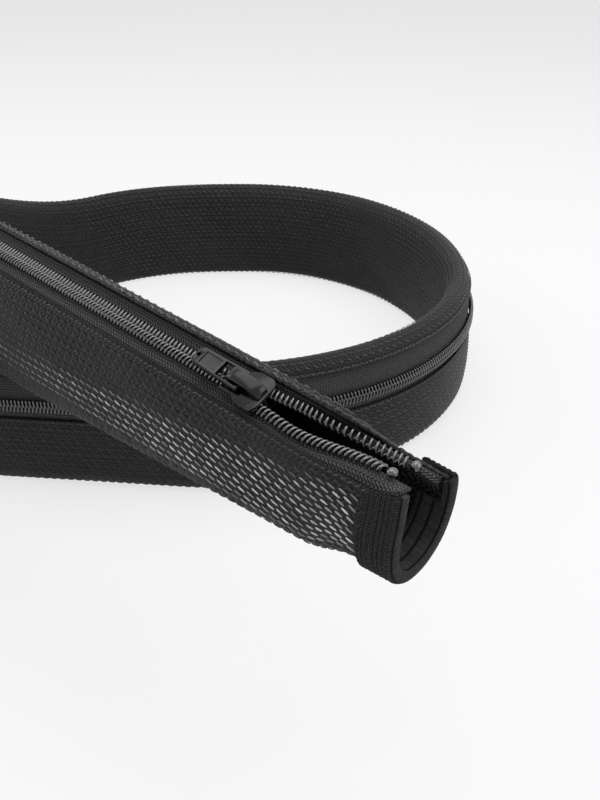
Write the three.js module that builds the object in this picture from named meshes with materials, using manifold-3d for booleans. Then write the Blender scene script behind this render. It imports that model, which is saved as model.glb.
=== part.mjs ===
// Zippered cable sleeve: a woven tube, slit along its length and closed by a coil zip.
// Units are millimetres, +Z is up. The straight run lies along X with its mouth towards +X,
// and the rest of the sleeve lies in one turn on its lower edge, passing under the run.
import * as THREE from "three";
import Module from "manifold-3d";
import { mergeVertices } from "three/addons/utils/BufferGeometryUtils.js";

// Lay of the sleeve, seen from above.
const RUN_LENGTH = 194;
const RUN_OFFSET = 122.3;
const RUN_SLOPE = 0.07;
const LOOP_RADIUS_LEFT = 121;
const LOOP_RADIUS_BACK = 113;
const LOOP_RADIUS_RIGHT = 105.2;
const LOOP_RADIUS_FRONT = 100.8;
const LOOP_END_DEG = 413.3;
const TAIL_STRAIGHT = 110;
const TAIL_BEND_DEG = 36.7;
const TAIL_BEND_RADIUS = 80;
const TAIL_END = 30;

// Section of the sleeve.
const LOOP_HEIGHT = 52;
const LOOP_WIDTH = 13.6;
const RUN_CLEARANCE = 0.9;
const FABRIC_THICKNESS = 1.1;
const RIDGE_DEPTH = 0.3;

// Zip.
const TAPE_THICKNESS = 0.6;
const COIL_SEAT = 0.25;
const COIL_WIDTH = 2.7;
const COIL_HEIGHT = 2.0;
const COIL_PITCH = 1.4;
const TOOTH_LENGTH = 0.45;
const TOOTH_REACH = 0.6;
const TOOTHED_LENGTH = 76;
const SLIDER_STATION = 50;
const SLIDER_LENGTH = 12.4;
const SLIDER_WIDTH = 10.2;
const SLIDER_WALL = 0.8;
const CROWN_WIDTH = 3.6;
const CROWN_HEIGHT = 3.4;
const TAB_LENGTH = 15.5;
const TAB_WIDTH = 6;
const TAB_THICKNESS = 1.2;

// End bindings.
const BAND_LENGTH = 8.6;
const BAND_THICKNESS = 0.9;
const BAND_RIBS = 6;

const GAP = 0.3;
const DEG = Math.PI / 180;
const RUN_LIFT = LOOP_HEIGHT + RUN_CLEARANCE;

function ease(u) {
  const t = Math.min(1, Math.max(0, u));
  return t * t * (3 - 2 * t);
}

function easedTable(table, x) {
  if (x <= table[0][0]) return table[0][1];
  for (let i = 1; i < table.length; i += 1) {
    if (x <= table[i][0]) {
      const u = ease((x - table[i - 1][0]) / (table[i][0] - table[i - 1][0]));
      return table[i - 1][1] * (1 - u) + table[i][1] * u;
    }
  }
  return table[table.length - 1][1];
}

const RADIUS_TABLE = [
  [90, RUN_OFFSET],
  [183, LOOP_RADIUS_LEFT],
  [228, LOOP_RADIUS_BACK],
  [318, LOOP_RADIUS_RIGHT],
  [408, LOOP_RADIUS_FRONT],
];

function planPoints() {
  const points = [];
  for (let x = RUN_LENGTH; x > 0; x -= 1) points.push([x, -RUN_OFFSET]);
  for (let t = 90; t <= LOOP_END_DEG; t += 0.5) {
    const r = easedTable(RADIUS_TABLE, t);
    points.push([r * Math.cos(-t * DEG), r * Math.sin(-t * DEG)]);
  }
  let [x, y] = points[points.length - 1];
  let heading = (-LOOP_END_DEG - 90) * DEG;
  const bendLength = TAIL_BEND_DEG * DEG * TAIL_BEND_RADIUS;
  const total = TAIL_STRAIGHT + bendLength + TAIL_END;
  const steps = Math.round(total);
  const step = total / steps;
  for (let i = 0; i < steps; i += 1) {
    const along = (i + 0.5) * step;
    if (along > TAIL_STRAIGHT && along < TAIL_STRAIGHT + bendLength) heading -= step / TAIL_BEND_RADIUS;
    x += step * Math.cos(heading);
    y += step * Math.sin(heading);
    points.push([x, y]);
  }
  return points;
}

const PLAN = planPoints();
const PLAN_LENGTH = [0];
for (let i = 1; i < PLAN.length; i += 1) {
  const d = Math.hypot(PLAN[i][0] - PLAN[i - 1][0], PLAN[i][1] - PLAN[i - 1][1]);
  PLAN_LENGTH.push(PLAN_LENGTH[i - 1] + d);
}
const TOTAL_LENGTH = PLAN_LENGTH[PLAN_LENGTH.length - 1];
const ARC_START = RUN_LENGTH;

function planAt(s) {
  if (s <= 0) return [PLAN[0][0] - s, PLAN[0][1]];
  const n = PLAN.length;
  if (s >= TOTAL_LENGTH) {
    const dx = PLAN[n - 1][0] - PLAN[n - 2][0];
    const dy = PLAN[n - 1][1] - PLAN[n - 2][1];
    const k = (s - TOTAL_LENGTH) / Math.hypot(dx, dy);
    return [PLAN[n - 1][0] + dx * k, PLAN[n - 1][1] + dy * k];
  }
  let lo = 0;
  let hi = n - 1;
  while (hi - lo > 1) {
    const mid = (lo + hi) >> 1;
    if (PLAN_LENGTH[mid] <= s) lo = mid;
    else hi = mid;
  }
  const u = (s - PLAN_LENGTH[lo]) / (PLAN_LENGTH[hi] - PLAN_LENGTH[lo]);
  return [
    PLAN[lo][0] * (1 - u) + PLAN[hi][0] * u,
    PLAN[lo][1] * (1 - u) + PLAN[hi][1] * u,
  ];
}

function frameAt(s) {
  const a = planAt(s - 1.5);
  const b = planAt(s + 1.5);
  const length = Math.hypot(b[0] - a[0], b[1] - a[1]);
  const tx = (b[0] - a[0]) / length;
  const ty = (b[1] - a[1]) / length;
  return { centre: planAt(s), inward: [ty, -tx], along: [tx, ty] };
}

const DROP_START = ARC_START + 30;
const DROP_END = ARC_START + 205;

function baseHeight(s) {
  return RUN_LIFT * (1 - ease((s - DROP_START) / (DROP_END - DROP_START)));
}

// A point of a section: n towards the inside of the turn, z above the lower edge.
function place(s, n, z) {
  const f = frameAt(s);
  return [f.centre[0] + f.inward[0] * n, f.centre[1] + f.inward[1] * n, baseHeight(s) + z];
}

// Height of the zip chain and of the lower edge, measured from the path.
const CHAIN_AT_MOUTH = 36.4;
const EDGE_AT_MOUTH = 8.4;
const EDGE_FALL = 0.056;
const CHAIN_SHARE = 0.67;
const TWIST_START = 170;
const TWIST_END = ARC_START + 130;

function chainHeight(s) {
  const turned = ease((s - TWIST_START) / (TWIST_END - TWIST_START));
  return (CHAIN_AT_MOUTH + RUN_SLOPE * s) * (1 - turned) + CHAIN_SHARE * LOOP_HEIGHT * turned;
}

function edgeHeight(s) {
  return Math.max(0, EDGE_AT_MOUTH - EDGE_FALL * s);
}

// Each wall line runs from the front seam down the outer wall, under, up the inner wall and
// over the top to the back seam. The same fourteen places are given at each key station:
// across, share of the way from the lower edge to the chain, and a further rise.
const HALF = LOOP_WIDTH / 2;
const LOOP_OUTLINE = [
  [-0.88, 0.56], [-1.0, 0.4], [-1.0, 0.2], [-0.82, 0.06], [-0.38, 0], [0.38, 0], [0.82, 0.06],
  [0.97, 0.24], [1.0, 0.5], [0.91, 0.76], [0.66, 0.93], [0.15, 1.0], [-0.47, 0.976], [-0.79, 0.89],
];
const LOOP_WALL = LOOP_OUTLINE.map(([n, z]) => [n * HALF, z / CHAIN_SHARE, 0]);
const RUN_WALL = [
  [-9.8, 1, -1.6], [-10.1, 0.8, 0], [-9.8, 0.48, 0], [-8.4, 0.14, 0], [-4.8, 0, 0], [1.2, 0, 0],
  [5.4, 0.11, 0], [7, 0.36, 0], [7.6, 0.66, 0], [7.5, 0.92, 0], [6.4, 1, 1.6], [4.5, 1, 4.4],
  [2.6, 1, 5.3], [0.9, 1, 4.9],
];
const MOUTH_WALL = [
  [-9.3, 1, 1.8], [-10.2, 0.85, -0.2], [-11.2, 0.6, 1.3], [-11.3, 0.35, 3.3], [-9.6, 0.1, 5.6],
  [-5.5, 0, 5.5], [1.2, 0, 6], [6.9, 0.15, 5.9], [10, 0.45, 3.5], [10.7, 0.7, 0],
  [10.9, 0.9, -3.6], [10.9, 1, -5.2], [10.8, 1, -4.5], [10.6, 1, -3.8],
];
const BANDED_WALL = MOUTH_WALL.map(([n, share, rise], i) => {
  const [tuck, drop] = [[0.1, -3.2], [0.2, -0.8]][i] ?? [0, 0];
  return [n + tuck, share, rise + drop];
});
const BAND_ROOM = GAP + BAND_THICKNESS + 1.0;
const END_WALL = LOOP_OUTLINE.map(([n, z]) => [
  n * HALF * (1 - BAND_ROOM / HALF / 2),
  (z * (1 - (2 * BAND_ROOM) / LOOP_HEIGHT)) / CHAIN_SHARE,
  BAND_ROOM,
]);
const WALL_KEYS = [
  [0, MOUTH_WALL], [9.5, BANDED_WALL], [30, RUN_WALL],
  [ARC_START + 26, RUN_WALL], [TWIST_END, LOOP_WALL],
  [TOTAL_LENGTH - 45, LOOP_WALL], [TOTAL_LENGTH - 11, END_WALL],
];

function keyed(keys, s) {
  if (s <= keys[0][0]) return keys[0][1];
  for (let i = 1; i < keys.length; i += 1) {
    if (s <= keys[i][0]) {
      const u = ease((s - keys[i - 1][0]) / (keys[i][0] - keys[i - 1][0]));
      return keys[i - 1][1].map((p, k) => p.map((v, j) => v * (1 - u) + keys[i][1][k][j] * u));
    }
  }
  return keys[keys.length - 1][1];
}

// Rounded line through the wall points, evenly spaced: [n, z, normal n, normal z, share].
const wallLines = new Map();

function wallLine(s, count) {
  const key = `${s.toFixed(4)} ${count}`;
  if (!wallLines.has(key)) wallLines.set(key, makeWallLine(s, count));
  return wallLines.get(key);
}

function makeWallLine(s, count) {
  const chain = chainHeight(s);
  const edge = edgeHeight(s);
  const knots = keyed(WALL_KEYS, s).map(
    ([n, share, rise]) => new THREE.Vector3(n, edge + (chain - edge) * share + rise, 0),
  );
  const curve = new THREE.CatmullRomCurve3(knots, false, "centripetal");
  const line = [];
  for (let i = 0; i < count; i += 1) {
    const u = i / (count - 1);
    const p = curve.getPointAt(u);
    const t = curve.getTangentAt(u);
    line.push([p.x, Math.max(edge, p.y), t.y, -t.x, u]);
  }
  return line.map((q) => (q[1] < edge + 0.25 ? [q[0], q[1], 0, -1, q[4]] : q));
}

function offsetPoint(q, d) {
  return [q[0] + q[2] * d, q[1] + q[3] * d];
}

// Closed loft: rings are lists of 3-D points in one order, the caps are ribbons.
function loft(rings, capPairs) {
  const count = rings[0].length;
  const position = [];
  const index = [];
  for (const ring of rings) for (const p of ring) position.push(...p);
  for (let i = 0; i + 1 < rings.length; i += 1) {
    for (let j = 0; j < count; j += 1) {
      const a = i * count + j;
      const b = i * count + ((j + 1) % count);
      index.push(a, b, b + count, a, b + count, a + count);
    }
  }
  const last = (rings.length - 1) * count;
  for (const [a, b, c] of capPairs) {
    index.push(a, c, b);
    index.push(last + a, last + b, last + c);
  }
  const geometry = new THREE.BufferGeometry();
  geometry.setAttribute("position", new THREE.Float32BufferAttribute(position, 3));
  geometry.setIndex(index);
  return facesOut(geometry);
}

function signedVolume(geometry) {
  const p = geometry.getAttribute("position");
  const ix = geometry.getIndex().array;
  let volume = 0;
  const a = new THREE.Vector3();
  const b = new THREE.Vector3();
  const c = new THREE.Vector3();
  for (let i = 0; i < ix.length; i += 3) {
    a.fromBufferAttribute(p, ix[i]);
    b.fromBufferAttribute(p, ix[i + 1]);
    c.fromBufferAttribute(p, ix[i + 2]);
    volume += a.dot(b.clone().cross(c)) / 6;
  }
  return volume;
}

function facesOut(geometry) {
  if (signedVolume(geometry) < 0) {
    const ix = geometry.getIndex().array;
    for (let i = 0; i < ix.length; i += 3) {
      const keep = ix[i + 1];
      ix[i + 1] = ix[i + 2];
      ix[i + 2] = keep;
    }
  }
  geometry.computeVertexNormals();
  return geometry;
}

// Caps of a C-shaped ring: outer points 0..m-1 forward, inner points back with `ratio` to one.
function ribbonCaps(outer, inner) {
  const caps = [];
  const ratio = (outer - 1) / (inner - 1);
  const innerIndex = (k) => outer + (inner - 1 - k);
  for (let k = 0; k + 1 < inner; k += 1) {
    for (let j = 0; j < ratio; j += 1) {
      caps.push([k * ratio + j, k * ratio + j + 1, innerIndex(k)]);
    }
    caps.push([(k + 1) * ratio, innerIndex(k + 1), innerIndex(k)]);
  }
  return caps;
}

function shellRing(s, outerCount, innerCount, outerOffset, innerOffset) {
  const outer = wallLine(s, outerCount).map((q, j) => place(s, ...offsetPoint(q, outerOffset(q, j))));
  const inner = wallLine(s, innerCount).map((q, j) => place(s, ...offsetPoint(q, innerOffset(q, j))));
  return [...outer, ...inner.reverse()];
}

function stations(from, to, step) {
  const list = [from];
  const marks = [10, 50, 135, ARC_START, DROP_START].filter((m) => m > from + 1 && m < to - 1);
  let s = from;
  while (s < to - 1e-6) {
    const straight = s < ARC_START - 20;
    const next = s + (s < 66 ? step * 0.5 : straight ? step * 1.6 : step);
    const mark = marks.find((m) => m > s + 1e-6 && m < next + step * 0.4);
    s = mark || next;
    if (s > to - step * 0.4) s = to;
    list.push(s);
  }
  return list;
}

const RIDGES = 14;
const OUTER_COUNT = RIDGES * 2 + 1;
const INNER_COUNT = RIDGES + 1;
const MESH_START = 1.2;
const MESH_END = TOTAL_LENGTH - MESH_START;

function meshSleeve() {
  const outerCount = OUTER_COUNT;
  const innerCount = INNER_COUNT;
  const ridge = (q, j) => (j % 2 === 1 && q[1] > 0.5 ? -RIDGE_DEPTH : 0);
  const rings = stations(MESH_START, MESH_END, 11.5).map((s) =>
    shellRing(s, outerCount, innerCount, ridge, () => -FABRIC_THICKNESS),
  );
  return loft(rings, ribbonCaps(outerCount, innerCount));
}

// At each key station: the engagement points of both halves, measured from the chain height,
// and the directions across them.
const CHAIN_ACROSS = -3.4;
const CHAIN_TILT = 24;
const OPEN_AT_POST = 1.6;

function zipKeys() {
  const c = Math.cos(CHAIN_TILT * DEG) * OPEN_AT_POST;
  const r = Math.sin(CHAIN_TILT * DEG) * OPEN_AT_POST;
  const half = SLIDER_LENGTH / 2;
  const tilts = [[CHAIN_TILT, 0], [CHAIN_TILT, 0]];
  const closed = [[CHAIN_ACROSS, 0], [CHAIN_ACROSS, 0], ...tilts];
  const post = [[CHAIN_ACROSS - c, -r], [CHAIN_ACROSS + c, r], ...tilts];
  const turned = [[-0.72 * HALF, 0], [-0.72 * HALF, 0], [88, 0], [88, 0]];
  return [
    [0, [[-2.3, -1.0], [7.2, -6.0], [-14, 0], [26, 0]]],
    [10, [[-2.6, -0.8], [6.2, -5.0], [-8, 0], [28, 0]]],
    [SLIDER_STATION - half - 10, [[-4.9, -1.6], [-0.6, 0.4], [16, 0], [30, 0]]],
    [SLIDER_STATION - half - 0.5, post],
    [SLIDER_STATION - half + 2.0, post],
    [SLIDER_STATION + half - 3, closed],
    [ARC_START + 10, closed],
    [TWIST_END, turned],
  ];
}

const ZIP_KEYS = zipKeys();

// side -1 is the front half, +1 the back half. across points from front to back.
function zipFrame(s, side) {
  const [front, back, frontTilt, backTilt] = keyed(ZIP_KEYS, s);
  const edge = side < 0 ? front : back;
  const tilt = (side < 0 ? frontTilt[0] : backTilt[0]) * DEG;
  return {
    edge: [edge[0], edge[1] + chainHeight(s)],
    across: [Math.cos(tilt), Math.sin(tilt)],
    out: [-Math.sin(tilt), Math.cos(tilt)],
  };
}

// u is across from the engagement line, v outwards from the middle of the tape.
function zipPoint(s, side, u, v) {
  const f = zipFrame(s, side);
  return [
    f.edge[0] + f.across[0] * u + f.out[0] * v,
    f.edge[1] + f.across[1] * u + f.out[1] * v,
  ];
}

// Tape under the edge of the woven wall: `tuck` is 0 at the edge and 2 at the tape's own edge.
function tapeUnderWall(s, side, v, tuck) {
  const line = wallLine(s, OUTER_COUNT);
  const q = side < 0 ? line[tuck] : line[OUTER_COUNT - 1 - tuck];
  const inset = FABRIC_THICKNESS + GAP + TAPE_THICKNESS / 2;
  return offsetPoint(q, v - inset);
}

function zipStations(from, to) {
  return stations(from, to, 11.5).flatMap((s, i, all) => {
    if (s < 66 && i + 1 < all.length) return [s, (s + all[i + 1]) / 2];
    return [s];
  });
}

const TAPE_START = 2.4;
const TAPE_END = TOTAL_LENGTH - 2.4;

function tape(side) {
  const t = TAPE_THICKNESS / 2;
  const rings = zipStations(TAPE_START, TAPE_END).map((s) => {
    const root = [tapeUnderWall(s, side, t, 2), tapeUnderWall(s, side, -t, 2)];
    const middle = [tapeUnderWall(s, side, t, 0), tapeUnderWall(s, side, -t, 0)];
    const seam = tapeUnderWall(s, side, 0, 0);
    const engaged = zipFrame(s, side).edge;
    const span = Math.hypot(seam[0] - engaged[0], seam[1] - engaged[1]);
    const flat = side * Math.min(SLIDER_WIDTH / 2 + 0.3, 0.8 * span);
    const knee = [zipPoint(s, side, flat, t), zipPoint(s, side, flat, -t)];
    const edge = [zipPoint(s, side, side * 0.5, t), zipPoint(s, side, side * 0.5, -t)];
    const line = [root[0], middle[0], knee[0], edge[0], edge[1], knee[1], middle[1], root[1]];
    return line.map(([n, z]) => place(s, n, z));
  });
  return loft(rings, [[0, 1, 7], [1, 6, 7], [1, 2, 6], [2, 5, 6], [2, 3, 5], [3, 4, 5]]);
}

// Coil half: toothed at its true pitch by the slider and the mouth, an even bar further on.
function coil(side) {
  const bottom = TAPE_THICKNESS / 2 + COIL_SEAT;
  const top = bottom + COIL_HEIGHT;
  const rings = [];
  const ring = (s, reach, rise) => {
    const inner = side * -reach;
    const line = [
      [side * COIL_WIDTH, bottom + 0.3],
      [side * COIL_WIDTH, top - 0.7 + rise],
      [side * (COIL_WIDTH - 0.7), top + rise],
      [inner + side * 0.3, top + rise], [inner, (top + bottom) / 2], [inner + side * 0.3, bottom],
      [side * (COIL_WIDTH - 0.4), bottom],
    ];
    rings.push(line.map(([u, v]) => place(s, ...zipPoint(s, side, u, v))));
  };
  const phase = side < 0 ? 0 : COIL_PITCH / 2;
  const first = 9.4 + phase;
  const teeth = Math.floor((TOOTHED_LENGTH - first) / COIL_PITCH);
  const flank = 0.2;
  for (let i = 0; i < teeth; i += 1) {
    const s = first + i * COIL_PITCH;
    ring(s - TOOTH_LENGTH / 2, TOOTH_REACH, 0);
    ring(s + TOOTH_LENGTH / 2, TOOTH_REACH, 0);
    ring(s + TOOTH_LENGTH / 2 + flank, -0.9, -0.35);
    ring(s + COIL_PITCH - TOOTH_LENGTH / 2 - flank, -0.9, -0.35);
  }
  const rest = first + teeth * COIL_PITCH;
  ring(rest, -0.2, -0.1);
  for (const s of stations(rest + 6, TOTAL_LENGTH - 11, 11.5)) ring(s, -0.2, -0.1);
  return loft(rings, [[0, 1, 6], [1, 5, 6], [1, 4, 5], [1, 2, 4], [2, 3, 4]]);
}

// Melted end of a coil half.
function coilEnd(side) {
  const shape = new THREE.IcosahedronGeometry(1, 1);
  shape.deleteAttribute("normal");
  shape.deleteAttribute("uv");
  const geometry = mergeVertices(shape, 1e-4);
  const p = geometry.getAttribute("position");
  const s0 = (side < 0 ? 7.2 : 7.9) - 0.2;
  for (let i = 0; i < p.count; i += 1) {
    const s = s0 + p.getX(i) * 1.3;
    const u = side * 1.3 + p.getY(i) * 1.5;
    const v = TAPE_THICKNESS / 2 + GAP + 1.3 + p.getZ(i) * 1.2;
    p.setXYZ(i, ...place(s, ...zipPoint(s, side, u, v)));
  }
  return facesOut(geometry);
}

// A point at the given offset from the wall line; below the fabric it follows the wall's inner facets.
function wallPoint(s, j, offset) {
  const line = wallLine(s, OUTER_COUNT);
  if (offset >= 0 || j % 2 === 0) return offsetPoint(line[j], offset);
  const a = offsetPoint(line[j - 1], offset);
  const b = offsetPoint(line[j + 1], offset);
  return [(a[0] + b[0]) / 2, (a[1] + b[1]) / 2];
}

// Profile of the folded band: depth from the rim, and offset from the wall line.
function bandProfile(innerDepth) {
  const outer = GAP + BAND_THICKNESS;
  const fabricBack = -FABRIC_THICKNESS - GAP;
  const inner = fabricBack - BAND_THICKNESS;
  const profile = [[BAND_LENGTH, GAP], [BAND_LENGTH, outer + 0.5]];
  for (let i = 0; i < BAND_RIBS; i += 1) {
    const pitch = (BAND_LENGTH - 0.8) / BAND_RIBS;
    const d = BAND_LENGTH - 0.8 - i * pitch;
    profile.push([d, outer], [d - pitch * 0.5, outer + 0.28]);
  }
  profile.push([0, outer], [-0.7, outer - 0.5], [-0.7, inner + 0.5], [0, inner]);
  profile.push([innerDepth, inner], [innerDepth, fabricBack], [0.6, fabricBack], [0.6, GAP]);
  return profile;
}

function band(mouthAt, direction) {
  const rings = [];
  for (let j = 0; j < OUTER_COUNT; j += 1) {
    const nearSeam = Math.min(j, OUTER_COUNT - 1 - j);
    const innerDepth = nearSeam < 4 ? 1.4 : BAND_LENGTH - 0.6;
    rings.push(
      bandProfile(innerDepth).map(([d, offset]) => {
        const s = mouthAt + direction * d;
        return place(s, ...wallPoint(s, j, offset));
      }),
    );
  }
  const flat = bandProfile(1.4).map(([d, offset]) => new THREE.Vector2(d, offset));
  return loft(rings, THREE.ShapeUtils.triangulateShape(flat, []));
}

function toManifold(wasm, geometry) {
  const clean = geometry.clone();
  clean.deleteAttribute("normal");
  clean.deleteAttribute("uv");
  const merged = mergeVertices(clean, 1e-4);
  return new wasm.Manifold(
    new wasm.Mesh({
      numProp: 3,
      vertProperties: new Float32Array(merged.getAttribute("position").array),
      triVerts: new Uint32Array(merged.getIndex().array),
    }),
  );
}

function fromManifold(solid) {
  const mesh = solid.getMesh();
  const geometry = new THREE.BufferGeometry();
  const points = new Float32Array(mesh.vertProperties);
  geometry.setAttribute("position", new THREE.BufferAttribute(points, 3));
  geometry.setIndex(new THREE.BufferAttribute(new Uint32Array(mesh.triVerts), 1));
  geometry.computeVertexNormals();
  return geometry;
}

// Slider pieces are drawn flat: x towards the mouth, y across, z outwards from the tape.
const COIL_TOP = TAPE_THICKNESS / 2 + COIL_SEAT + COIL_HEIGHT;
const TOP_PLATE = COIL_TOP + GAP;
const LOWER_PLATE = -TAPE_THICKNESS / 2 - GAP;
const CROWN_BASE = TOP_PLATE + SLIDER_WALL;
const POST_RADIUS = 0.7;
const PIN_RADIUS = 0.6;
const PIN_X = -1.5;
const PIN_Z = CROWN_BASE + 1.2;

function plateShape(inset) {
  const half = SLIDER_WIDTH / 2 - inset;
  const front = SLIDER_LENGTH / 2 - inset;
  const rear = half * 0.74;
  const shape = new THREE.Shape();
  shape.moveTo(-front, -rear);
  shape.lineTo(-front + 4.2, -rear);
  shape.quadraticCurveTo(-front + 5.6, -half, -front + 7, -half);
  shape.lineTo(front - 2.6, -half);
  shape.quadraticCurveTo(front, -half, front, -half + 2.8);
  shape.lineTo(front, half - 2.8);
  shape.quadraticCurveTo(front, half, front - 2.6, half);
  shape.lineTo(-front + 7, half);
  shape.quadraticCurveTo(-front + 5.6, half, -front + 4.2, rear);
  shape.lineTo(-front, rear);
  shape.closePath();
  return shape;
}

function plate(z, thickness, inset) {
  const options = { depth: thickness, bevelEnabled: false, curveSegments: 5 };
  const geometry = new THREE.ExtrudeGeometry(plateShape(inset), options);
  geometry.translate(0, 0, z);
  return geometry;
}

function sliderBody(wasm) {
  const top = toManifold(wasm, plate(TOP_PLATE, SLIDER_WALL, 0));
  const lower = toManifold(wasm, plate(LOWER_PLATE - SLIDER_WALL, SLIDER_WALL, 0));
  const skirtBottom = TAPE_THICKNESS / 2 + 2 * GAP;
  const skirt = toManifold(wasm, plate(skirtBottom, TOP_PLATE + 0.1 - skirtBottom, 0));
  const channel = toManifold(wasm, plate(skirtBottom - 1, 10, SLIDER_WALL * 0.65));
  const depth = TOP_PLATE - skirtBottom + 0.2;
  const spread = 2 * (OPEN_AT_POST + COIL_WIDTH + GAP);
  const throat = new THREE.BoxGeometry(SLIDER_LENGTH * 2, SLIDER_WIDTH - 2.6, depth);
  throat.translate(0, 0, (TOP_PLATE + skirtBottom) / 2 - 0.1);
  const flare = new THREE.BoxGeometry(4, spread, depth);
  flare.translate(SLIDER_LENGTH / 2 - 0.4, 0, (TOP_PLATE + skirtBottom) / 2 - 0.1);
  const cut = toManifold(wasm, throat).add(toManifold(wasm, flare));
  const post = new THREE.CylinderGeometry(POST_RADIUS, POST_RADIUS, TOP_PLATE - LOWER_PLATE + 0.4, 12);
  post.rotateX(Math.PI / 2);
  post.scale(1.9, 1, 1);
  post.translate(SLIDER_LENGTH / 2 - 1.9, 0, (TOP_PLATE + LOWER_PLATE) / 2);
  const solid = top.add(lower).add(skirt.subtract(channel).subtract(cut)).add(toManifold(wasm, post));
  return fromManifold(solid);
}

// Arched crown over the crossbar of the pull tab, one foot at each end of the top plate.
function sliderCrown() {
  const half = SLIDER_LENGTH / 2 - 0.5;
  const outer = CROWN_HEIGHT;
  const inner = CROWN_HEIGHT - 1.0;
  const shape = new THREE.Shape();
  shape.moveTo(-half, 0);
  shape.bezierCurveTo(-half, outer * 0.9, -half + 1.6, outer, -half + 3.4, outer);
  shape.bezierCurveTo(half - 4.6, outer * 1.02, half - 0.4, outer * 0.75, half, 0);
  shape.lineTo(half - 3.2, 0);
  shape.bezierCurveTo(half - 3.8, inner * 0.85, half - 5.0, inner, half - 6.4, inner);
  shape.bezierCurveTo(-half + 2.6, inner, -half + 1.7, inner * 0.8, -half + 1.6, 0);
  shape.closePath();
  const bevel = 0.35;
  const geometry = new THREE.ExtrudeGeometry(shape, {
    depth: CROWN_WIDTH - 2 * bevel, bevelEnabled: true, bevelSize: bevel, bevelThickness: bevel,
    bevelOffset: -bevel, bevelSegments: 2, curveSegments: 7,
  });
  geometry.translate(0, 0, -(CROWN_WIDTH - 2 * bevel) / 2);
  geometry.rotateX(Math.PI / 2);
  geometry.translate(0, 0, CROWN_BASE + 0.02);
  return geometry;
}

// Pull tab: framed plate with a window at the crossbar end and a small hole at the far end.
function pullTab(wasm) {
  const w = TAB_WIDTH / 2;
  const outline = new THREE.Shape();
  outline.moveTo(0.7, -w);
  outline.lineTo(0.7, w);
  outline.lineTo(-TAB_LENGTH + 1.6, w * 0.86);
  outline.quadraticCurveTo(-TAB_LENGTH, w * 0.84, -TAB_LENGTH, w * 0.3);
  outline.lineTo(-TAB_LENGTH, -w * 0.3);
  outline.quadraticCurveTo(-TAB_LENGTH, -w * 0.84, -TAB_LENGTH + 1.6, -w * 0.86);
  outline.closePath();
  const bevel = 0.2;
  const blank = new THREE.ExtrudeGeometry(outline, {
    depth: TAB_THICKNESS - 2 * bevel, bevelEnabled: true, bevelSize: bevel, bevelThickness: bevel,
    bevelOffset: -bevel, bevelSegments: 1, curveSegments: 6,
  });
  blank.translate(0, 0, -(TAB_THICKNESS - 2 * bevel) / 2);
  const windowLength = 6.4;
  const window = new THREE.BoxGeometry(windowLength, CROWN_WIDTH + 0.9, 6);
  window.translate(-0.5 - windowLength / 2 + 0.2, 0, 0);
  const fieldLength = TAB_LENGTH - windowLength - 3.6;
  const field = new THREE.BoxGeometry(fieldLength, TAB_WIDTH * 0.62, 1);
  field.translate(-windowLength - 1.0 - fieldLength / 2, 0, TAB_THICKNESS / 2 + 0.22);
  const fieldBack = new THREE.BoxGeometry(fieldLength, TAB_WIDTH * 0.62, 1);
  fieldBack.translate(-windowLength - 1.0 - fieldLength / 2, 0, -TAB_THICKNESS / 2 - 0.22);
  const hole = new THREE.CylinderGeometry(0.6, 0.6, 6, 12);
  hole.rotateX(Math.PI / 2);
  hole.translate(-TAB_LENGTH + 1.2, 0, 0);
  const bar = new THREE.CylinderGeometry(PIN_RADIUS, PIN_RADIUS, TAB_WIDTH - 0.8, 12);
  let solid = toManifold(wasm, blank).subtract(toManifold(wasm, window));
  solid = solid.subtract(toManifold(wasm, field)).subtract(toManifold(wasm, fieldBack));
  solid = solid.subtract(toManifold(wasm, hole)).add(toManifold(wasm, bar));
  return fromManifold(solid);
}

const TAB_LIFT_DEG = 4;

function placeTab(geometry) {
  geometry.rotateY(TAB_LIFT_DEG * DEG);
  geometry.translate(PIN_X, 0, PIN_Z);
  return geometry;
}

// Carries the flat slider drawing to the straight zip line, which falls towards the mouth.
function onZip(geometry) {
  const tilt = CHAIN_TILT * DEG;
  const along = new THREE.Vector3(1, 0, -RUN_SLOPE).normalize();
  const across = new THREE.Vector3(0, Math.cos(tilt), Math.sin(tilt));
  across.addScaledVector(along, -across.dot(along)).normalize();
  const out = new THREE.Vector3().crossVectors(along, across);
  const centre = place(SLIDER_STATION, CHAIN_ACROSS, chainHeight(SLIDER_STATION));
  const matrix = new THREE.Matrix4().makeBasis(along, across, out).setPosition(...centre);
  const clean = geometry.clone().applyMatrix4(matrix);
  clean.deleteAttribute("normal");
  clean.deleteAttribute("uv");
  return facesOut(mergeVertices(clean, 1e-4));
}

const FINISHES = {
  woven: { color: 0x16171a, roughness: 0.75, metalness: 0 },
  tape: { color: 0x111214, roughness: 0.9, metalness: 0 },
  coil: { color: 0x08080a, roughness: 0.25, metalness: 0 },
  enamel: { color: 0x0b0b0c, roughness: 0.22, metalness: 0.4 },
  knit: { color: 0x141416, roughness: 0.95, metalness: 0 },
};

function named(name, geometry, finish) {
  const mesh = new THREE.Mesh(geometry, new THREE.MeshStandardMaterial(FINISHES[finish]));
  mesh.name = name;
  return mesh;
}

function centreOnFloor(group) {
  const box = new THREE.Box3().setFromObject(group, true);
  const middle = box.getCenter(new THREE.Vector3());
  for (const mesh of group.children) mesh.geometry.translate(-middle.x, -middle.y, -box.min.z);
  group.userData.loopCentre = [-middle.x, -middle.y, -box.min.z];
  return group;
}

const wasm = await Module();
wasm.setup();

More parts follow.
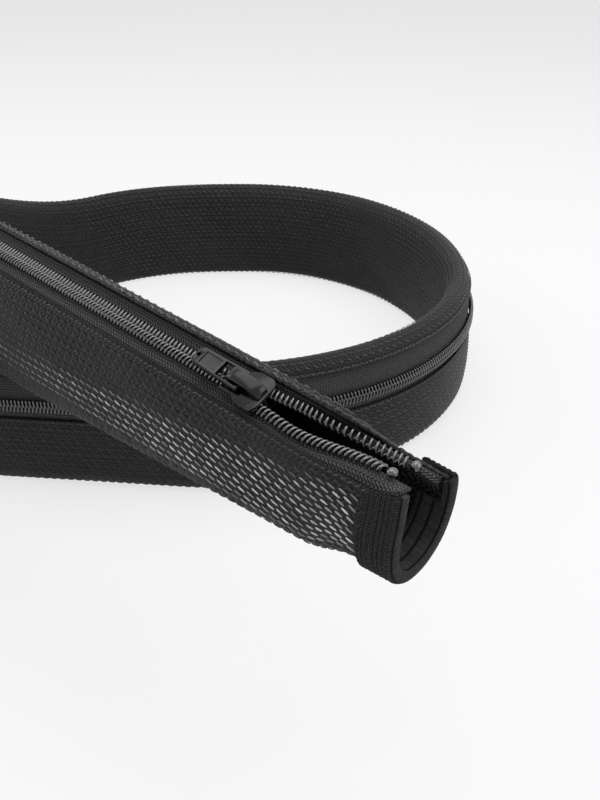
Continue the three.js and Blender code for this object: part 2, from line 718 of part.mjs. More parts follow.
const sleeve = new THREE.Group();
sleeve.add(
  named("mesh_sleeve", meshSleeve(), "woven"),
  named("front_tape", tape(-1), "tape"),
  named("back_tape", tape(1), "tape"),
  named("front_coil", coil(-1), "coil"),
  named("back_coil", coil(1), "coil"),
  named("front_coil_end", coilEnd(-1), "coil"),
  named("back_coil_end", coilEnd(1), "coil"),
  named("mouth_band", band(0, 1), "knit"),
  named("far_band", band(TOTAL_LENGTH, -1), "knit"),
  named("slider_body", onZip(sliderBody(wasm)), "enamel"),
  named("slider_crown", onZip(sliderCrown()), "enamel"),
  named("pull_tab", onZip(placeTab(pullTab(wasm))), "enamel"),
);

export default centreOnFloor(sleeve);
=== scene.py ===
"""A zippered cable sleeve laid in one turn: woven wall, coil zip, slider and knitted bands.

The lay repeats the part's own values in millimetres. Every piece is given in metres.
"""
import logging
import math
from dataclasses import dataclass
from enum import Enum
from typing import Sequence

import bmesh
import bpy
import numpy as np
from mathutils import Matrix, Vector


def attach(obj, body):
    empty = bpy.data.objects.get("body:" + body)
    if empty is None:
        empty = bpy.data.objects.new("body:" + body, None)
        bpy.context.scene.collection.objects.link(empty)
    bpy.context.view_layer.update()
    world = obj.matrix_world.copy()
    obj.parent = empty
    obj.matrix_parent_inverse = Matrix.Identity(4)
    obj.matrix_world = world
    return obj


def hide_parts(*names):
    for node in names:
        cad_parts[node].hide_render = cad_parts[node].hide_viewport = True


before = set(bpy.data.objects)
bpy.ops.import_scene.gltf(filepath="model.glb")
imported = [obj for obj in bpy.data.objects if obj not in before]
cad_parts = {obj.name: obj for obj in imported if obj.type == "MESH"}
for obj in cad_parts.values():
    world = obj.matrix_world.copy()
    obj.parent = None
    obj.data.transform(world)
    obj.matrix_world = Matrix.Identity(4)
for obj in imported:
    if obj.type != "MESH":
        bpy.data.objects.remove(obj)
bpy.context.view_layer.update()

LOG = logging.getLogger("sleeve")
Array = np.ndarray
MM = 0.001


class Side(Enum):
    """The two halves of the zip, seen from the mouth."""

    FRONT = -1
    BACK = 1


@dataclass(frozen=True)
class Lay:
    """Plan of the sleeve, in millimetres and degrees.

    The plan is moved by centre, so that the part's box stands in the middle.
    """

    run_length: float = 194.0
    run_offset: float = 122.3
    radii: tuple = ((90, 122.3), (183, 121.0), (228, 113.0), (318, 105.2), (408, 100.8))
    loop_end: float = 413.3
    tail_straight: float = 110.0
    tail_bend: float = 36.7
    tail_radius: float = 80.0
    tail_end: float = 30.0
    run_lift: float = 52.9
    centre: tuple = (-33.1410522, 26.1614494)
    drop: tuple = (224.0, 399.0)


@dataclass(frozen=True)
class Section:
    """Section of the sleeve, in millimetres."""

    loop_height: float = 52.0
    loop_width: float = 13.6
    fabric: float = 1.1
    gap: float = 0.3
    chain_at_mouth: float = 36.4
    run_slope: float = 0.07
    edge_at_mouth: float = 8.4
    edge_fall: float = 0.056
    chain_share: float = 0.67
    twist: tuple = (170.0, 324.0)
    band_room: float = 2.2


@dataclass(frozen=True)
class Zip:
    """Sizes of the zip, in millimetres and degrees."""

    tape: float = 0.6
    seat: float = 0.25
    width: float = 2.7
    height: float = 2.0
    pitch: float = 1.4
    reach: float = 0.6
    wire: float = 0.37
    tilt: float = 24.0
    across: float = -3.4
    open_at_post: float = 1.6
    slider_station: float = 50.0
    slider_length: float = 12.4
    slider_width: float = 10.2
    first: float = 9.4


@dataclass(frozen=True)
class Band:
    """Sizes of a knitted end band, in millimetres."""

    length: float = 8.6
    thickness: float = 0.9
    ribs: int = 6
    rib_height: float = 0.34
    stitch: float = 1.25


@dataclass(frozen=True)
class Weave:
    """Sizes of the woven wall and its yarns, in millimetres."""

    hem: float = 1.2
    join: float = 216.0
    overlap: float = 0.6
    rib_pitch: float = 1.31
    rib_height: float = 0.10
    wander: float = 0.22
    bundle_pitch: float = 1.65
    row_pitch: float = 1.7
    float_rows: int = 40
    float_pitch: float = 3.3
    float_size: tuple = (2.6, 0.66, 0.26)
    float_slant: float = -0.42
    stitch_pitch: float = 1.9
    stitch_size: tuple = (1.7, 0.7, 0.4)
    stitch_lean: float = 0.25


LAY = Lay()
SECTION = Section()
ZIP = Zip()
BAND = Band()
WEAVE = Weave()


def ease(u: Array) -> Array:
    """Smooth step.

    Args:
        u: Position from 0 to 1; it is clamped.

    Returns:
        The eased position.
    """
    t = np.clip(u, 0.0, 1.0)
    return t * t * (3 - 2 * t)


def keyed(stations: Sequence[float], values: Array, s: Array) -> Array:
    """Eased interpolation between key stations.

    Args:
        stations: Rising key positions.
        values: One array of values for each key.
        s: Positions asked for.

    Returns:
        One array of values for each position.
    """
    keys = np.asarray(stations, float)
    i = np.clip(np.searchsorted(keys, s, side="left"), 1, len(keys) - 1)
    u = ease((s - keys[i - 1]) / (keys[i] - keys[i - 1]))
    u = u.reshape(u.shape + (1,) * (values.ndim - 1))
    return values[i - 1] * (1 - u) + values[i] * u


class SleevePath:
    """The line on the ground that the sleeve follows, from the mouth to the far end."""

    def __init__(self, lay: Lay) -> None:
        """Walk the plan once.

        Args:
            lay: Sizes of the lay.
        """
        self.lay = lay
        plan = self._walk()
        step = np.hypot(*np.diff(plan, axis=0).T)
        along = np.concatenate([[0.0], np.cumsum(step)])
        self.total = float(along[-1])
        before = plan[0] + (plan[0] - plan[1]) * 20
        after = plan[-1] + (plan[-1] - plan[-2]) / step[-1] * 20
        self.plan = np.vstack([before, plan, after])
        self.along = np.concatenate([[-20.0 * step[0]], along, [self.total + 20.0]])

    def _walk(self) -> Array:
        lay = self.lay
        run = [(x, -lay.run_offset) for x in np.arange(lay.run_length, 0, -1)]
        t = np.arange(90, lay.loop_end + 1e-9, 0.5)
        table = np.array([r for _, r in lay.radii])[:, None]
        r = keyed([d for d, _ in lay.radii], table, t)[:, 0]
        r = np.where(t >= lay.radii[-1][0], lay.radii[-1][1], r)
        loop = np.stack([r * np.cos(-np.radians(t)), r * np.sin(-np.radians(t))], 1)
        bend = math.radians(lay.tail_bend) * lay.tail_radius
        total = lay.tail_straight + bend + lay.tail_end
        steps = round(total)
        middle = (np.arange(steps) + 0.5) * total / steps
        turning = (middle > lay.tail_straight) & (middle < lay.tail_straight + bend)
        heading = math.radians(-lay.loop_end - 90)
        heading = heading - np.cumsum(turning) * total / steps / lay.tail_radius
        move = np.stack([np.cos(heading), np.sin(heading)], 1) * total / steps
        return np.vstack([run, loop, loop[-1] + np.cumsum(move, axis=0)])

    def plan_at(self, s: Array) -> Array:
        """Plan points.

        Args:
            s: Distances from the mouth.

        Returns:
            x and y of each.
        """
        x = np.interp(s, self.along, self.plan[:, 0])
        y = np.interp(s, self.along, self.plan[:, 1])
        return np.stack([x, y], -1)

    def place(self, s: Array, n: Array, z: Array) -> Array:
        """Points of a section in the part's frame.

        Args:
            s: Distance from the mouth.
            n: Distance towards the inside of the turn.
            z: Height above the lower edge's path.

        Returns:
            Points in metres.
        """
        s, n, z = np.broadcast_arrays(s, n, z)
        t = self.plan_at(s + 1.5) - self.plan_at(s - 1.5)
        t = t / np.linalg.norm(t, axis=-1, keepdims=True)
        c = self.plan_at(s)
        start, end = self.lay.drop
        base = self.lay.run_lift * (1 - ease((s - start) / (end - start)))
        x = c[..., 0] + t[..., 1] * n + self.lay.centre[0]
        y = c[..., 1] - t[..., 0] * n + self.lay.centre[1]
        return np.stack([x, y, base + z], -1) * MM


class WallField:
    """The section's wall line at every station, with its normals."""

    OUTLINE = (
        (-0.88, 0.56), (-1.0, 0.4), (-1.0, 0.2), (-0.82, 0.06), (-0.38, 0), (0.38, 0),
        (0.82, 0.06), (0.97, 0.24), (1.0, 0.5), (0.91, 0.76), (0.66, 0.93), (0.15, 1.0),
        (-0.47, 0.976), (-0.79, 0.89),
    )
    RUN = (
        (-9.8, 1, -1.6), (-10.1, 0.8, 0), (-9.8, 0.48, 0), (-8.4, 0.14, 0), (-4.8, 0, 0),
        (1.2, 0, 0), (5.4, 0.11, 0), (7, 0.36, 0), (7.6, 0.66, 0), (7.5, 0.92, 0),
        (6.4, 1, 1.6), (4.5, 1, 4.4), (2.6, 1, 5.3), (0.9, 1, 4.9),
    )
    MOUTH = (
        (-9.3, 1, 1.8), (-10.2, 0.85, -0.2), (-11.2, 0.6, 1.3), (-11.3, 0.35, 3.3),
        (-9.6, 0.1, 5.6), (-5.5, 0, 5.5), (1.2, 0, 6), (6.9, 0.15, 5.9), (10, 0.45, 3.5),
        (10.7, 0.7, 0), (10.9, 0.9, -3.6), (10.9, 1, -5.2), (10.8, 1, -4.5), (10.6, 1, -3.8),
    )
    COUNT = 241

    def __init__(self, path: SleevePath, section: Section) -> None:
        """Work out every wall line.

        Args:
            path: The sleeve's path.
            section: Sizes of the section.
        """
        self.path = path
        self.section = section
        self.s = np.linspace(0, path.total, round(path.total) + 1)
        self.lines, self.width = self._lines()

    def chain_height(self, s: Array) -> Array:
        """Height of the zip chain.

        Args:
            s: Distances from the mouth.

        Returns:
            Heights above the path.
        """
        q = self.section
        u = ease((s - q.twist[0]) / (q.twist[1] - q.twist[0]))
        run = q.chain_at_mouth + q.run_slope * s
        return run * (1 - u) + q.chain_share * q.loop_height * u

    def edge_height(self, s: Array) -> Array:
        """Height of the lower edge.

        Args:
            s: Distances from the mouth.

        Returns:
            Heights above the path.
        """
        return np.maximum(0, self.section.edge_at_mouth - self.section.edge_fall * s)

    def _knots(self) -> Array:
        q = self.section
        half = q.loop_width / 2
        loop = [(n * half, z / q.chain_share, 0) for n, z in self.OUTLINE]
        mouth = np.array(self.MOUTH, float)
        banded = mouth.copy()
        banded[0] += (0.1, 0, -3.2)
        banded[1] += (0.2, 0, -0.8)
        narrow = 1 - q.band_room / half / 2
        low = 1 - 2 * q.band_room / q.loop_height
        end = [(n * half * narrow, z * low / q.chain_share, q.band_room) for n, z in self.OUTLINE]
        total = self.path.total
        keys = [0, 9.5, 30, LAY.run_length + 26, q.twist[1], total - 45, total - 11]
        walls = np.array([mouth, banded, self.RUN, self.RUN, loop, loop, end], float)
        at = keyed(keys, walls, self.s)
        chain = self.chain_height(self.s)[:, None]
        edge = self.edge_height(self.s)[:, None]
        return np.stack([at[..., 0], edge + (chain - edge) * at[..., 1] + at[..., 2]], -1)

    def _lines(self) -> tuple:
        knots = self._knots()
        first = 2 * knots[:, :1] - knots[:, 1:2]
        last = 2 * knots[:, -1:] - knots[:, -2:-1]
        p = np.concatenate([first, knots, last], axis=1)
        dt = np.maximum(np.linalg.norm(np.diff(p, axis=1), axis=-1, keepdims=True), 1e-6) ** 0.5
        w = np.linspace(0, 1, 25)[:-1, None]
        parts = []
        for i in range(knots.shape[1] - 1):
            x0, x1, x2, x3 = (p[:, i + k][:, None] for k in range(4))
            d0, d1, d2 = (dt[:, i + k][:, None] for k in range(3))
            t1 = ((x1 - x0) / d0 - (x2 - x0) / (d0 + d1) + (x2 - x1) / d1) * d1
            t2 = ((x2 - x1) / d1 - (x3 - x1) / (d1 + d2) + (x3 - x2) / d2) * d1
            cubic = 2 * x1 - 2 * x2 + t1 + t2
            square = -3 * x1 + 3 * x2 - 2 * t1 - t2
            parts.append(x1 + t1 * w + square * w**2 + cubic * w**3)
        fine = np.concatenate([*parts, knots[:, -1:]], axis=1)
        gaps = np.linalg.norm(np.diff(fine, axis=1), axis=-1)
        arc = np.concatenate([np.zeros((len(fine), 1)), np.cumsum(gaps, axis=1)], axis=1)
        share = np.linspace(0, 1, self.COUNT)
        even = np.empty((len(fine), self.COUNT, 2))
        for i, line in enumerate(fine):
            for k in range(2):
                even[i, :, k] = np.interp(share * arc[i, -1], arc[i], line[:, k])
        t = np.gradient(even, axis=1)
        t /= np.linalg.norm(t, axis=-1, keepdims=True)
        edge = self.edge_height(self.s)[:, None]
        even[..., 1] = np.maximum(even[..., 1], edge)
        under = even[..., 1] < edge + 0.25
        normal = np.stack([t[..., 1], -t[..., 0]], -1)
        normal[under] = (0, -1)
        return np.concatenate([even, normal], -1), arc[:, -1]

    def at(self, s: Array, share: Array) -> Array:
        """Wall line values between the stored stations.

        Args:
            s: Distances from the mouth.
            share: Place from the front seam, 0, to the back seam, 1.

        Returns:
            n, z and the two parts of the normal.
        """
        s, share = np.broadcast_arrays(s, share)
        a = np.clip(s / (self.s[1] - self.s[0]), 0, len(self.s) - 1.001)
        b = np.clip(share, 0, 1) * (self.COUNT - 1.001)
        i, j = a.astype(int), b.astype(int)
        f, g = (a - i)[..., None], (b - j)[..., None]
        low = self.lines[i, j] * (1 - g) + self.lines[i, j + 1] * g
        high = self.lines[i + 1, j] * (1 - g) + self.lines[i + 1, j + 1] * g
        return low * (1 - f) + high * f

    def flat(self, s: Array, share: Array, offset: Array) -> tuple:
        """Section coordinates of a point beside the wall.

        Args:
            s: Distances from the mouth.
            share: Place from seam to seam.
            offset: Distance outwards from the wall.

        Returns:
            n and z.
        """
        q = self.at(s, share)
        return q[..., 0] + q[..., 2] * offset, q[..., 1] + q[..., 3] * offset

    def point(self, s: Array, share: Array, offset: Array) -> Array:
        """Points beside the wall.

        Args:
            s: Distances from the mouth.
            share: Place from seam to seam.
            offset: Distance outwards from the wall.

        Returns:
            Points in metres.
        """
        n, z = self.flat(s, share, offset)
        return self.path.place(s, n, z)


class ZipLine:
    """The engagement lines of both halves of the zip."""

    def __init__(self, wall: WallField, sizes: Zip) -> None:
        """Set the key stations.

        Args:
            wall: The wall that carries the tapes.
            sizes: Sizes of the zip.
        """
        self.wall = wall
        self.sizes = sizes
        c = math.cos(math.radians(sizes.tilt)) * sizes.open_at_post
        r = math.sin(math.radians(sizes.tilt)) * sizes.open_at_post
        a, t = sizes.across, sizes.tilt
        half = sizes.slider_length / 2
        at = sizes.slider_station
        closed = (a, 0, a, 0, t, t)
        post = (a - c, -r, a + c, r, t, t)
        turned = -0.72 * SECTION.loop_width / 2
        rows = [
            (0, (-2.3, -1.0, 7.2, -6.0, -14, 26)),
            (10, (-2.6, -0.8, 6.2, -5.0, -8, 28)),
            (at - half - 10, (-4.9, -1.6, -0.6, 0.4, 16, 30)),
            (at - half - 0.5, post),
            (at - half + 2, post),
            (at + half - 3, closed),
            (LAY.run_length + 10, closed),
            (SECTION.twist[1], (turned, 0, turned, 0, 88, 88)),
        ]
        self.keys = [k for k, _ in rows]
        self.values = np.array([v for _, v in rows], float)

    def point(self, s: Array, side: Side, u: Array, v: Array) -> Array:
        """Points beside the engagement line.

        Args:
            s: Distances from the mouth.
            side: Half of the zip.
            u: Distance towards the back.
            v: Distance outwards from the middle of the tape.

        Returns:
            n and z of each point.
        """
        s, u, v = np.broadcast_arrays(s, u, v)
        q = keyed(self.keys, self.values, s)
        k = 0 if side is Side.FRONT else 2
        tilt = np.radians(q[..., 4 if side is Side.FRONT else 5])
        n = q[..., k] + np.cos(tilt) * u - np.sin(tilt) * v
        z = q[..., k + 1] + np.sin(tilt) * u + np.cos(tilt) * v
        return np.stack([n, z + self.wall.chain_height(s)], -1)

    def place(self, s: Array, side: Side, u: Array, v: Array) -> Array:
        """Points beside the engagement line, in metres.

        Args:
            s: Distances from the mouth.
            side: Half of the zip.
            u: Distance towards the back.
            v: Distance outwards from the middle of the tape.

        Returns:
            Points in metres.
        """
        q = self.point(s, side, u, v)
        return self.wall.path.place(s, q[..., 0], q[..., 1])


def mesh_piece(name: str, points: Array, faces: Array, uv: Array | None = None) -> bpy.types.Object:
    """A smooth mesh object at the origin.

    Args:
        name: Name of the piece.
        points: Corner points in metres.
        faces: Corner numbers of each face.
        uv: Texture place of each point, in centimetres of cloth.

    Returns:
        The object.
    """
    mesh = bpy.data.meshes.new(name)
    mesh.from_pydata(points.reshape(-1, 3).tolist(), [], faces.tolist())
    mesh.validate()
    mesh.polygons.foreach_set("use_smooth", np.ones(len(mesh.polygons), bool))
    if uv is not None:
        corner = np.empty(len(mesh.loops), np.int32)
        mesh.loops.foreach_get("vertex_index", corner)
        layer = mesh.uv_layers.new(name="cloth")
        layer.data.foreach_set("uv", uv.reshape(-1, 2)[corner].astype(np.float32).ravel())
    mesh.update()
    piece = bpy.data.objects.new(name, mesh)
    bpy.context.scene.collection.objects.link(piece)
    return piece


def grid_faces(rows: int, columns: int, wrap: bool = False) -> Array:
    """Faces of a grid of points.

    Args:
        rows: Number of rows.
        columns: Number of points in a row.
        wrap: Whether the last column joins the first.

    Returns:
        Corner numbers of each face.
    """
    i = np.arange(rows - 1)[:, None]
    j = np.arange(columns if wrap else columns - 1)[None]
    k = (j + 1) % columns
    quads = np.stack([i * columns + j, i * columns + k, (i + 1) * columns + k, (i + 1) * columns + j], -1)
    return quads.reshape(-1, 4)


def store_tone_and_painted_highlight(piece: bpy.types.Object, values: Array) -> None:
    """Store a value for each point as a point attribute: random tone, with painted highlight where it is
    raised.

    Args:
        piece: The mesh object.
        values: One value for each point.
    """
    attribute = piece.data.attributes.new("tone_and_painted_highlight", "FLOAT", "POINT")
    attribute.data.foreach_set("value", values.astype(np.float32).ravel())


def closed(piece: bpy.types.Object) -> bpy.types.Object:
    """Close the open ends of a mesh and turn its faces outwards.

    Args:
        piece: The mesh object.

    Returns:
        The same object.
    """
    tool = bmesh.new()
    tool.from_mesh(piece.data)
    bmesh.ops.holes_fill(tool, edges=[e for e in tool.edges if e.is_boundary])
    bmesh.ops.recalc_face_normals(tool, faces=tool.faces)
    tool.to_mesh(piece.data)
    tool.free()
    return piece


@dataclass(frozen=True)
class Finish:
    """Colours of one finish."""

    dark: tuple
    light: tuple
    rough: float
    gloss: float = 0.5


WOVEN = Finish((0.0015, 0.0015, 0.0017, 1), (0.050, 0.050, 0.053, 1), 0.5, 0.22)
# Floats: the dark colour is the yarn's own; the light colour is a painted highlight.
YARN_AND_HIGHLIGHT = Finish((0.012, 0.012, 0.013, 1), (0.85, 0.85, 0.87, 1), 0.36, 0.3)
TAPE = Finish((0.006, 0.006, 0.0064, 1), (0.140, 0.141, 0.146, 1), 0.8, 0.15)
COIL = Finish((0.003, 0.003, 0.0035, 1), (0.012, 0.012, 0.013, 1), 0.16, 0.8)
ENAMEL = Finish((0.0020, 0.0020, 0.0024, 1), (0.004, 0.004, 0.0043, 1), 0.2, 0.25)
KNIT = Finish((0.004, 0.004, 0.0045, 1), (0.070, 0.070, 0.074, 1), 0.85, 0.12)


class Nodes:
    """Short ways to write a material's nodes."""

    def __init__(self, name: str, finish: Finish, coat: float = 0.0) -> None:
        """Make a material with one principled shader.

        Args:
            name: Name of the material.
            finish: Its colours, roughness and gloss.
            coat: Weight of the coat.
        """
        self.material = bpy.data.materials.new(name)
        self.material.use_nodes = True
        self.tree = self.material.node_tree
        self.shader = self.tree.nodes["Principled BSDF"]
        self.shader.inputs["Roughness"].default_value = finish.rough
        self.shader.inputs["Specular IOR Level"].default_value = finish.gloss
        self.shader.inputs["Coat Weight"].default_value = coat
        self.shader.inputs["Coat Roughness"].default_value = 0.12

    def add(self, kind: str, settings: dict | None = None, **inputs: object) -> bpy.types.Node:
        """Add a node.

        Args:
            kind: Node type.
            settings: Properties of the node.
            inputs: Values or sockets by input name, with _ for a space.

        Returns:
            The node.
        """
        node = self.tree.nodes.new(kind)
        for key, value in (settings or {}).items():
            setattr(node, key, value)
        for key, value in inputs.items():
            numbered = key[0] == "i" and key[1:].isdigit()
            socket = node.inputs[int(key[1:]) if numbered else key.replace("_", " ")]
            if isinstance(value, bpy.types.NodeSocket):
                self.tree.links.new(value, socket)
            else:
                socket.default_value = value
        return node

    def math(self, operation: str, a: object, b: object = 0.0) -> bpy.types.NodeSocket:
        """One operation on two values.

        Args:
            operation: Name of the operation.
            a: First value or socket.
            b: Second value or socket.

        Returns:
            The result's socket.
        """
        node = self.add("ShaderNodeMath", {"operation": operation}, i0=a, i1=b)
        return node.outputs[0]

    def ripple(self, angle: bpy.types.NodeSocket) -> bpy.types.NodeSocket:
        """A sine between 0 and 1.

        Args:
            angle: The angle in radians.

        Returns:
            The wave's socket.
        """
        return self.math("ADD", self.math("MULTIPLY", self.math("SINE", angle), 0.5), 0.5)

    def mix(self, factor: object, a: tuple, b: object) -> bpy.types.NodeSocket:
        """A mix of two colours.

        Args:
            factor: Share of the second colour.
            a: First colour or socket.
            b: Second colour or socket.

        Returns:
            The colour's socket.
        """
        node = self.add("ShaderNodeMix", {"data_type": "RGBA"}, i0=factor, i6=a, i7=b)
        return node.outputs[2]

    def bump(self, height: bpy.types.NodeSocket, distance: float, strength: float = 1.0) -> None:
        """Give the shader a bump.

        Args:
            height: Height from 0 to 1.
            distance: Depth in metres.
            strength: Strength of the bump.
        """
        node = self.add("ShaderNodeBump", Height=height, Distance=distance, Strength=strength)
        self.tree.links.new(node.outputs[0], self.shader.inputs["Normal"])

    def colour(self, socket: bpy.types.NodeSocket) -> None:
        """Give the shader its colour.

        Args:
            socket: The colour.
        """
        self.tree.links.new(socket, self.shader.inputs["Base Color"])

    def roughness(self, socket: bpy.types.NodeSocket) -> None:
        """Give the shader its roughness.

        Args:
            socket: The roughness.
        """
        self.tree.links.new(socket, self.shader.inputs["Roughness"])


class Materials:
    """The sleeve's procedural finishes."""

    def __init__(self) -> None:
        """Make them all."""
        self.woven = self._woven()
        self.yarn = self._yarn()
        self.tape = self._tape()
        self.coil = self._coil()
        self.enamel = self._enamel()
        self.knit = self._knit()

    @staticmethod
    def _woven() -> bpy.types.Material:
        n = Nodes("woven_yarn", WOVEN)
        uv = n.add("ShaderNodeUVMap", {"uv_map": "cloth"}).outputs[0]
        parts = n.add("ShaderNodeSeparateXYZ", Vector=uv)
        along, across = parts.outputs[0], parts.outputs[1]
        row, pitch = WEAVE.row_pitch / 10, WEAVE.bundle_pitch / 10
        zigzag = n.math("PINGPONG", across, row)
        rows = n.math("ABSOLUTE", n.math("SINE", n.math("MULTIPLY", across, math.pi / row)))
        slant = n.math("MULTIPLY", n.math("ADD", along, zigzag), 2 * math.pi / pitch)
        bundle = n.ripple(slant)
        bundle = n.math("MULTIPLY", n.math("POWER", bundle, 0.7), n.math("POWER", rows, 0.45))
        fibre = n.add(
            "ShaderNodeTexWave", {"bands_direction": "DIAGONAL"},
            Vector=uv, Scale=30.0, Distortion=2.0, Detail=2.0,
        ).outputs["Fac"]
        patch = n.add("ShaderNodeTexNoise", Vector=uv, Scale=1.3, Detail=3.0).outputs["Fac"]
        body = n.math("MULTIPLY", bundle, n.math("ADD", n.math("MULTIPLY", fibre, 0.5), 0.4))
        body = n.math("MULTIPLY", body, n.math("ADD", patch, 0.5))
        n.colour(n.mix(body, WOVEN.dark, WOVEN.light))
        n.bump(n.math("ADD", n.math("MULTIPLY", fibre, 0.12), bundle), 0.00035)
        return n.material

    @staticmethod
    def _yarn() -> bpy.types.Material:
        n = Nodes("float_with_painted_highlight", YARN_AND_HIGHLIGHT)
        tone_and_painted_highlight = n.add("ShaderNodeAttribute", {"attribute_name": "tone_and_painted_highlight"}).outputs["Fac"]
        place = n.add("ShaderNodeTexCoord").outputs["Object"]
        fibre = n.add("ShaderNodeTexNoise", Vector=place, Scale=2600.0, Detail=2.0).outputs["Fac"]
        # Colour runs from the dark yarn towards the painted highlight by the stored tone and highlight
        # value.
        n.colour(n.mix(n.math("MULTIPLY", tone_and_painted_highlight, n.math("ADD", fibre, 0.45)), YARN_AND_HIGHLIGHT.dark, YARN_AND_HIGHLIGHT.light))
        n.bump(fibre, 0.00005)
        return n.material

    @staticmethod
    def _tape() -> bpy.types.Material:
        n = Nodes("knitted_tape", TAPE)
        uv = n.add("ShaderNodeUVMap", {"uv_map": "cloth"}).outputs[0]
        parts = n.add("ShaderNodeSeparateXYZ", Vector=uv)
        along, across = parts.outputs[0], parts.outputs[1]
        column = n.math("PINGPONG", across, 0.14)
        slanted = n.math("ADD", n.math("MULTIPLY", along, 60.0), n.math("MULTIPLY", column, 75.0))
        rib = n.ripple(slanted)
        edge = n.ripple(n.math("MULTIPLY", across, 63.0))
        body = n.math("MULTIPLY", rib, n.math("ADD", n.math("MULTIPLY", edge, 0.6), 0.4))
        n.colour(n.mix(body, TAPE.dark, TAPE.light))
        grain = n.add("ShaderNodeTexNoise", Vector=uv, Scale=55.0, Detail=2.0).outputs["Fac"]
        n.bump(n.math("ADD", body, n.math("MULTIPLY", grain, 0.6)), 0.00018)
        return n.material

    @staticmethod
    def _coil() -> bpy.types.Material:
        n = Nodes("nylon_monofilament", COIL, coat=1.0)
        place = n.add("ShaderNodeTexCoord").outputs["Object"]
        noise = n.add("ShaderNodeTexNoise", Vector=place, Scale=900.0, Detail=2.0).outputs["Fac"]
        n.colour(n.mix(noise, COIL.dark, COIL.light))
        n.roughness(n.math("ADD", n.math("MULTIPLY", noise, 0.2), 0.12))
        return n.material

    @staticmethod
    def _enamel() -> bpy.types.Material:
        n = Nodes("black_enamel", ENAMEL, coat=0.12)
        place = n.add("ShaderNodeTexCoord").outputs["Object"]
        noise = n.add("ShaderNodeTexNoise", Vector=place, Scale=420.0, Detail=4.0).outputs["Fac"]
        worn = n.add("ShaderNodeNewGeometry").outputs["Pointiness"]
        rub = n.math("MULTIPLY", n.math("GREATER_THAN", worn, 0.56), noise)
        n.colour(n.mix(rub, ENAMEL.dark, (0.05, 0.05, 0.053, 1)))
        n.roughness(n.math("ADD", n.math("MULTIPLY", noise, 0.16), 0.12))
        n.bump(noise, 0.00002)
        return n.material

    @staticmethod
    def _knit() -> bpy.types.Material:
        n = Nodes("ribbed_knit", KNIT)
        uv = n.add("ShaderNodeUVMap", {"uv_map": "cloth"}).outputs[0]
        stitch = n.add(
            "ShaderNodeTexBrick", {"offset": 0.5},
            Vector=uv, Color1=(0.6, 0.6, 0.6, 1), Color2=(1, 1, 1, 1), Mortar=(0, 0, 0, 1),
            Scale=1.0, Mortar_Size=0.012, Mortar_Smooth=0.8, Brick_Width=0.065, Row_Height=0.065,
        ).outputs["Color"]
        fuzz = n.add("ShaderNodeTexNoise", Vector=uv, Scale=60.0, Detail=3.0).outputs["Fac"]
        body = n.math("MULTIPLY", stitch, n.math("ADD", fuzz, 0.3))
        n.colour(n.mix(body, KNIT.dark, KNIT.light))
        n.bump(body, 0.00018)
        return n.material


def dress(piece: bpy.types.Object, material: bpy.types.Material, body: str = "sleeve") -> None:
    """Give a new piece its finish and its body.

    Args:
        piece: The piece.
        material: Its finish.
        body: The body it rides on.
    """
    piece.data.materials.append(material)
    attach(piece, body)


